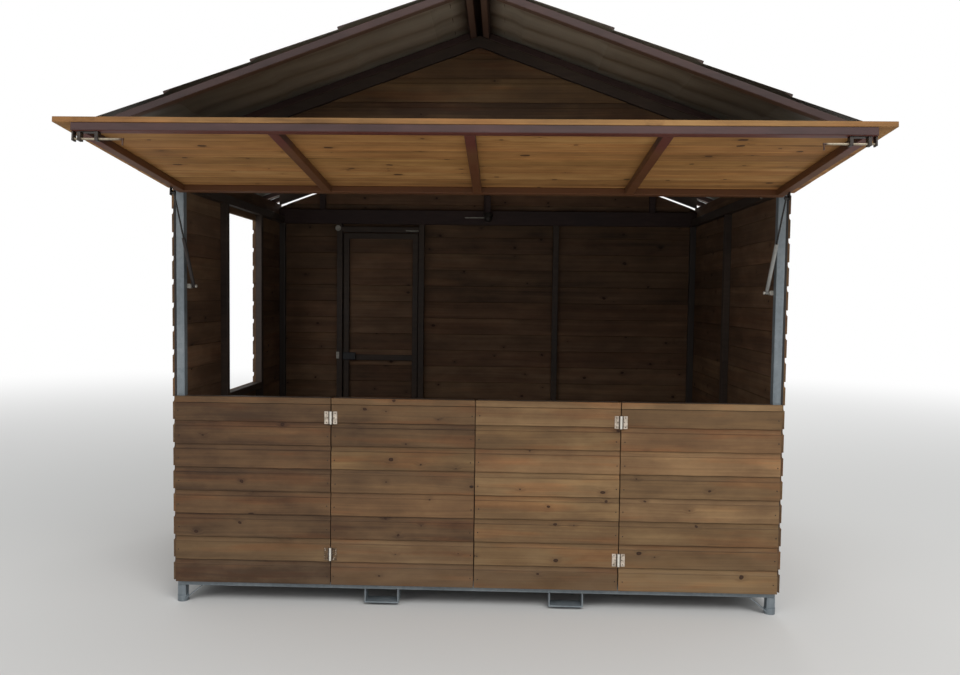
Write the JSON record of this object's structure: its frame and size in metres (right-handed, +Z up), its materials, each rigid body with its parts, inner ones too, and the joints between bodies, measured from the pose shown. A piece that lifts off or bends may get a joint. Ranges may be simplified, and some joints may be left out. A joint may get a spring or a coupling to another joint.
{
  "type": "wooden market stall",
  "caption": "Timber clad market stall on a steel frame, with a gable tile sheet roof, a raised serving flap on gas struts and hinged front doors.",
  "frame": {"origin": "on the ground at the middle of the area that the whole stall covers", "axes": "+X to the right seen from the serving side, +Y from the serving side to the back, +Z up"},
  "size_m": [3.3064, 3.19, 2.8463],
  "materials": {
    "galvanised_steel": "galvanised",
    "painted_steel": "satin",
    "wall_boards": "stained",
    "flap_boards": "stained",
    "deck_board": "matt",
    "tile_sheet": "matt",
    "zinc_fittings": "zinc plated",
    "strut_body": "satin",
    "strut_rod": "polished",
    "lock_case": "satin"
  },
  "bodies": {
    "root": {"base_long_rails": "galvanised_steel", "base_cross_bearers": "galvanised_steel", "corner_feet": "galvanised_steel", "fork_loops": "galvanised_steel", "floor_deck": "deck_board", "corner_posts": "galvanised_steel", "top_long_rails": "painted_steel", "top_side_rails": "painted_steel", "left_wall_below_opening": "wall_boards", "left_wall_front": "wall_boards", "left_wall_rear": "wall_boards", "left_wall_over_opening": "wall_boards", "right_wall": "wall_boards", "wall_studs": "painted_steel", "wall_rails": "painted_steel", "back_wall_left": "wall_boards", "back_wall_right": "wall_boards", "back_wall_over_door": "wall_boards", "front_left_boards": "wall_boards", "front_right_boards": "wall_boards", "front_panel_stiles": "galvanised_steel", "front_panel_rails": "galvanised_steel", "front_gable_boards": "wall_boards", "back_gable_boards": "wall_boards", "gable_chords": "painted_steel", "gable_uprights": "painted_steel", "rafters": "painted_steel", "roof_long_rails": "painted_steel", "left_roof_sheet": "tile_sheet", "right_roof_sheet": "tile_sheet", "ridge_cap": "tile_sheet", "door_hinge_plates": "zinc_fittings", "flap_hinge_plates": "zinc_fittings", "strut_post_brackets": "zinc_fittings"},
    "flap": {"flap_boards": "flap_boards", "flap_long_rails": "painted_steel", "flap_ribs": "painted_steel", "flap_hinge_leaves": "zinc_fittings", "flap_bolt_guides": "painted_steel", "flap_strut_brackets": "zinc_fittings"},
    "right_bolt": {"right_flap_bolt": "zinc_fittings"},
    "left_bolt": {"left_flap_bolt": "zinc_fittings"},
    "right_rod": {"right_strut_rod": "strut_rod"},
    "left_rod": {"left_strut_rod": "strut_rod"},
    "right_cylinder": {"right_strut_cylinder": "strut_body"},
    "left_cylinder": {"left_strut_cylinder": "strut_body"},
    "right_front_door": {"right_door_boards": "wall_boards", "right_door_frame": "galvanised_steel", "right_door_hinge_leaves": "zinc_fittings"},
    "left_front_door": {"left_door_boards": "wall_boards", "left_door_frame": "galvanised_steel", "left_door_hinge_leaves": "zinc_fittings"},
    "back_door": {"back_door_boards": "wall_boards", "back_door_frame": "galvanised_steel", "back_door_hinge_leaves": "zinc_fittings", "back_door_latch": "lock_case"}
  },
  "joints": [
    {"name": "flap_hinge", "type": "hinge", "parent": "root", "child": "flap", "pos_m": [0, -0.56146, 2.075], "axis": [1, 0, 0], "range_deg": [0, 95.6]},
    {"name": "right_bolt_slide", "type": "slide", "parent": "flap", "child": "right_bolt", "axis": [1, 0, 0], "range_m": [0, 0.04]},
    {"name": "right_strut_pivot", "type": "hinge", "parent": "flap", "child": "right_rod", "pos_m": [1.412, -0.71879, 2.00753], "axis": [1, 0, 0], "range_deg": [-124.7, 0]},
    {"name": "right_strut_slide", "type": "slide", "parent": "right_rod", "child": "right_cylinder", "axis": [0, -0.4889, 0.8724], "range_m": [0, 0.146]},
    {"name": "left_bolt_slide", "type": "slide", "parent": "flap", "child": "left_bolt", "axis": [-1, 0, 0], "range_m": [0, 0.04]},
    {"name": "left_strut_pivot", "type": "hinge", "parent": "flap", "child": "left_rod", "pos_m": [-1.412, -0.71879, 2.00753], "axis": [1, 0, 0], "range_deg": [-124.7, 0]},
    {"name": "left_strut_slide", "type": "slide", "parent": "left_rod", "child": "left_cylinder", "axis": [0, -0.4889, 0.8724], "range_m": [0, 0.146]},
    {"name": "right_door_hinge", "type": "hinge", "parent": "root", "child": "right_front_door", "pos_m": [0.7075, -0.56146, 0.6015], "axis": [0, 0, 1], "range_deg": [0, 170]},
    {"name": "left_door_hinge", "type": "hinge", "parent": "root", "child": "left_front_door", "pos_m": [-0.7075, -0.56146, 0.6015], "axis": [0, 0, -1], "range_deg": [0, 170]},
    {"name": "back_door_hinge", "type": "hinge", "parent": "root", "child": "back_door", "pos_m": [-0.4575, 1.39654, 1.064], "axis": [0, 0, -1], "range_deg": [0, 110]}
  ],
  "couplings": [
    {"joint": "right_strut_pivot", "follows": "flap_hinge", "ratio": -1.3027},
    {"joint": "right_strut_slide", "follows": "flap_hinge", "m_per_rad": 0.087304},
    {"joint": "left_strut_pivot", "follows": "flap_hinge", "ratio": -1.3027},
    {"joint": "left_strut_slide", "follows": "flap_hinge", "m_per_rad": 0.087304}
  ]
}
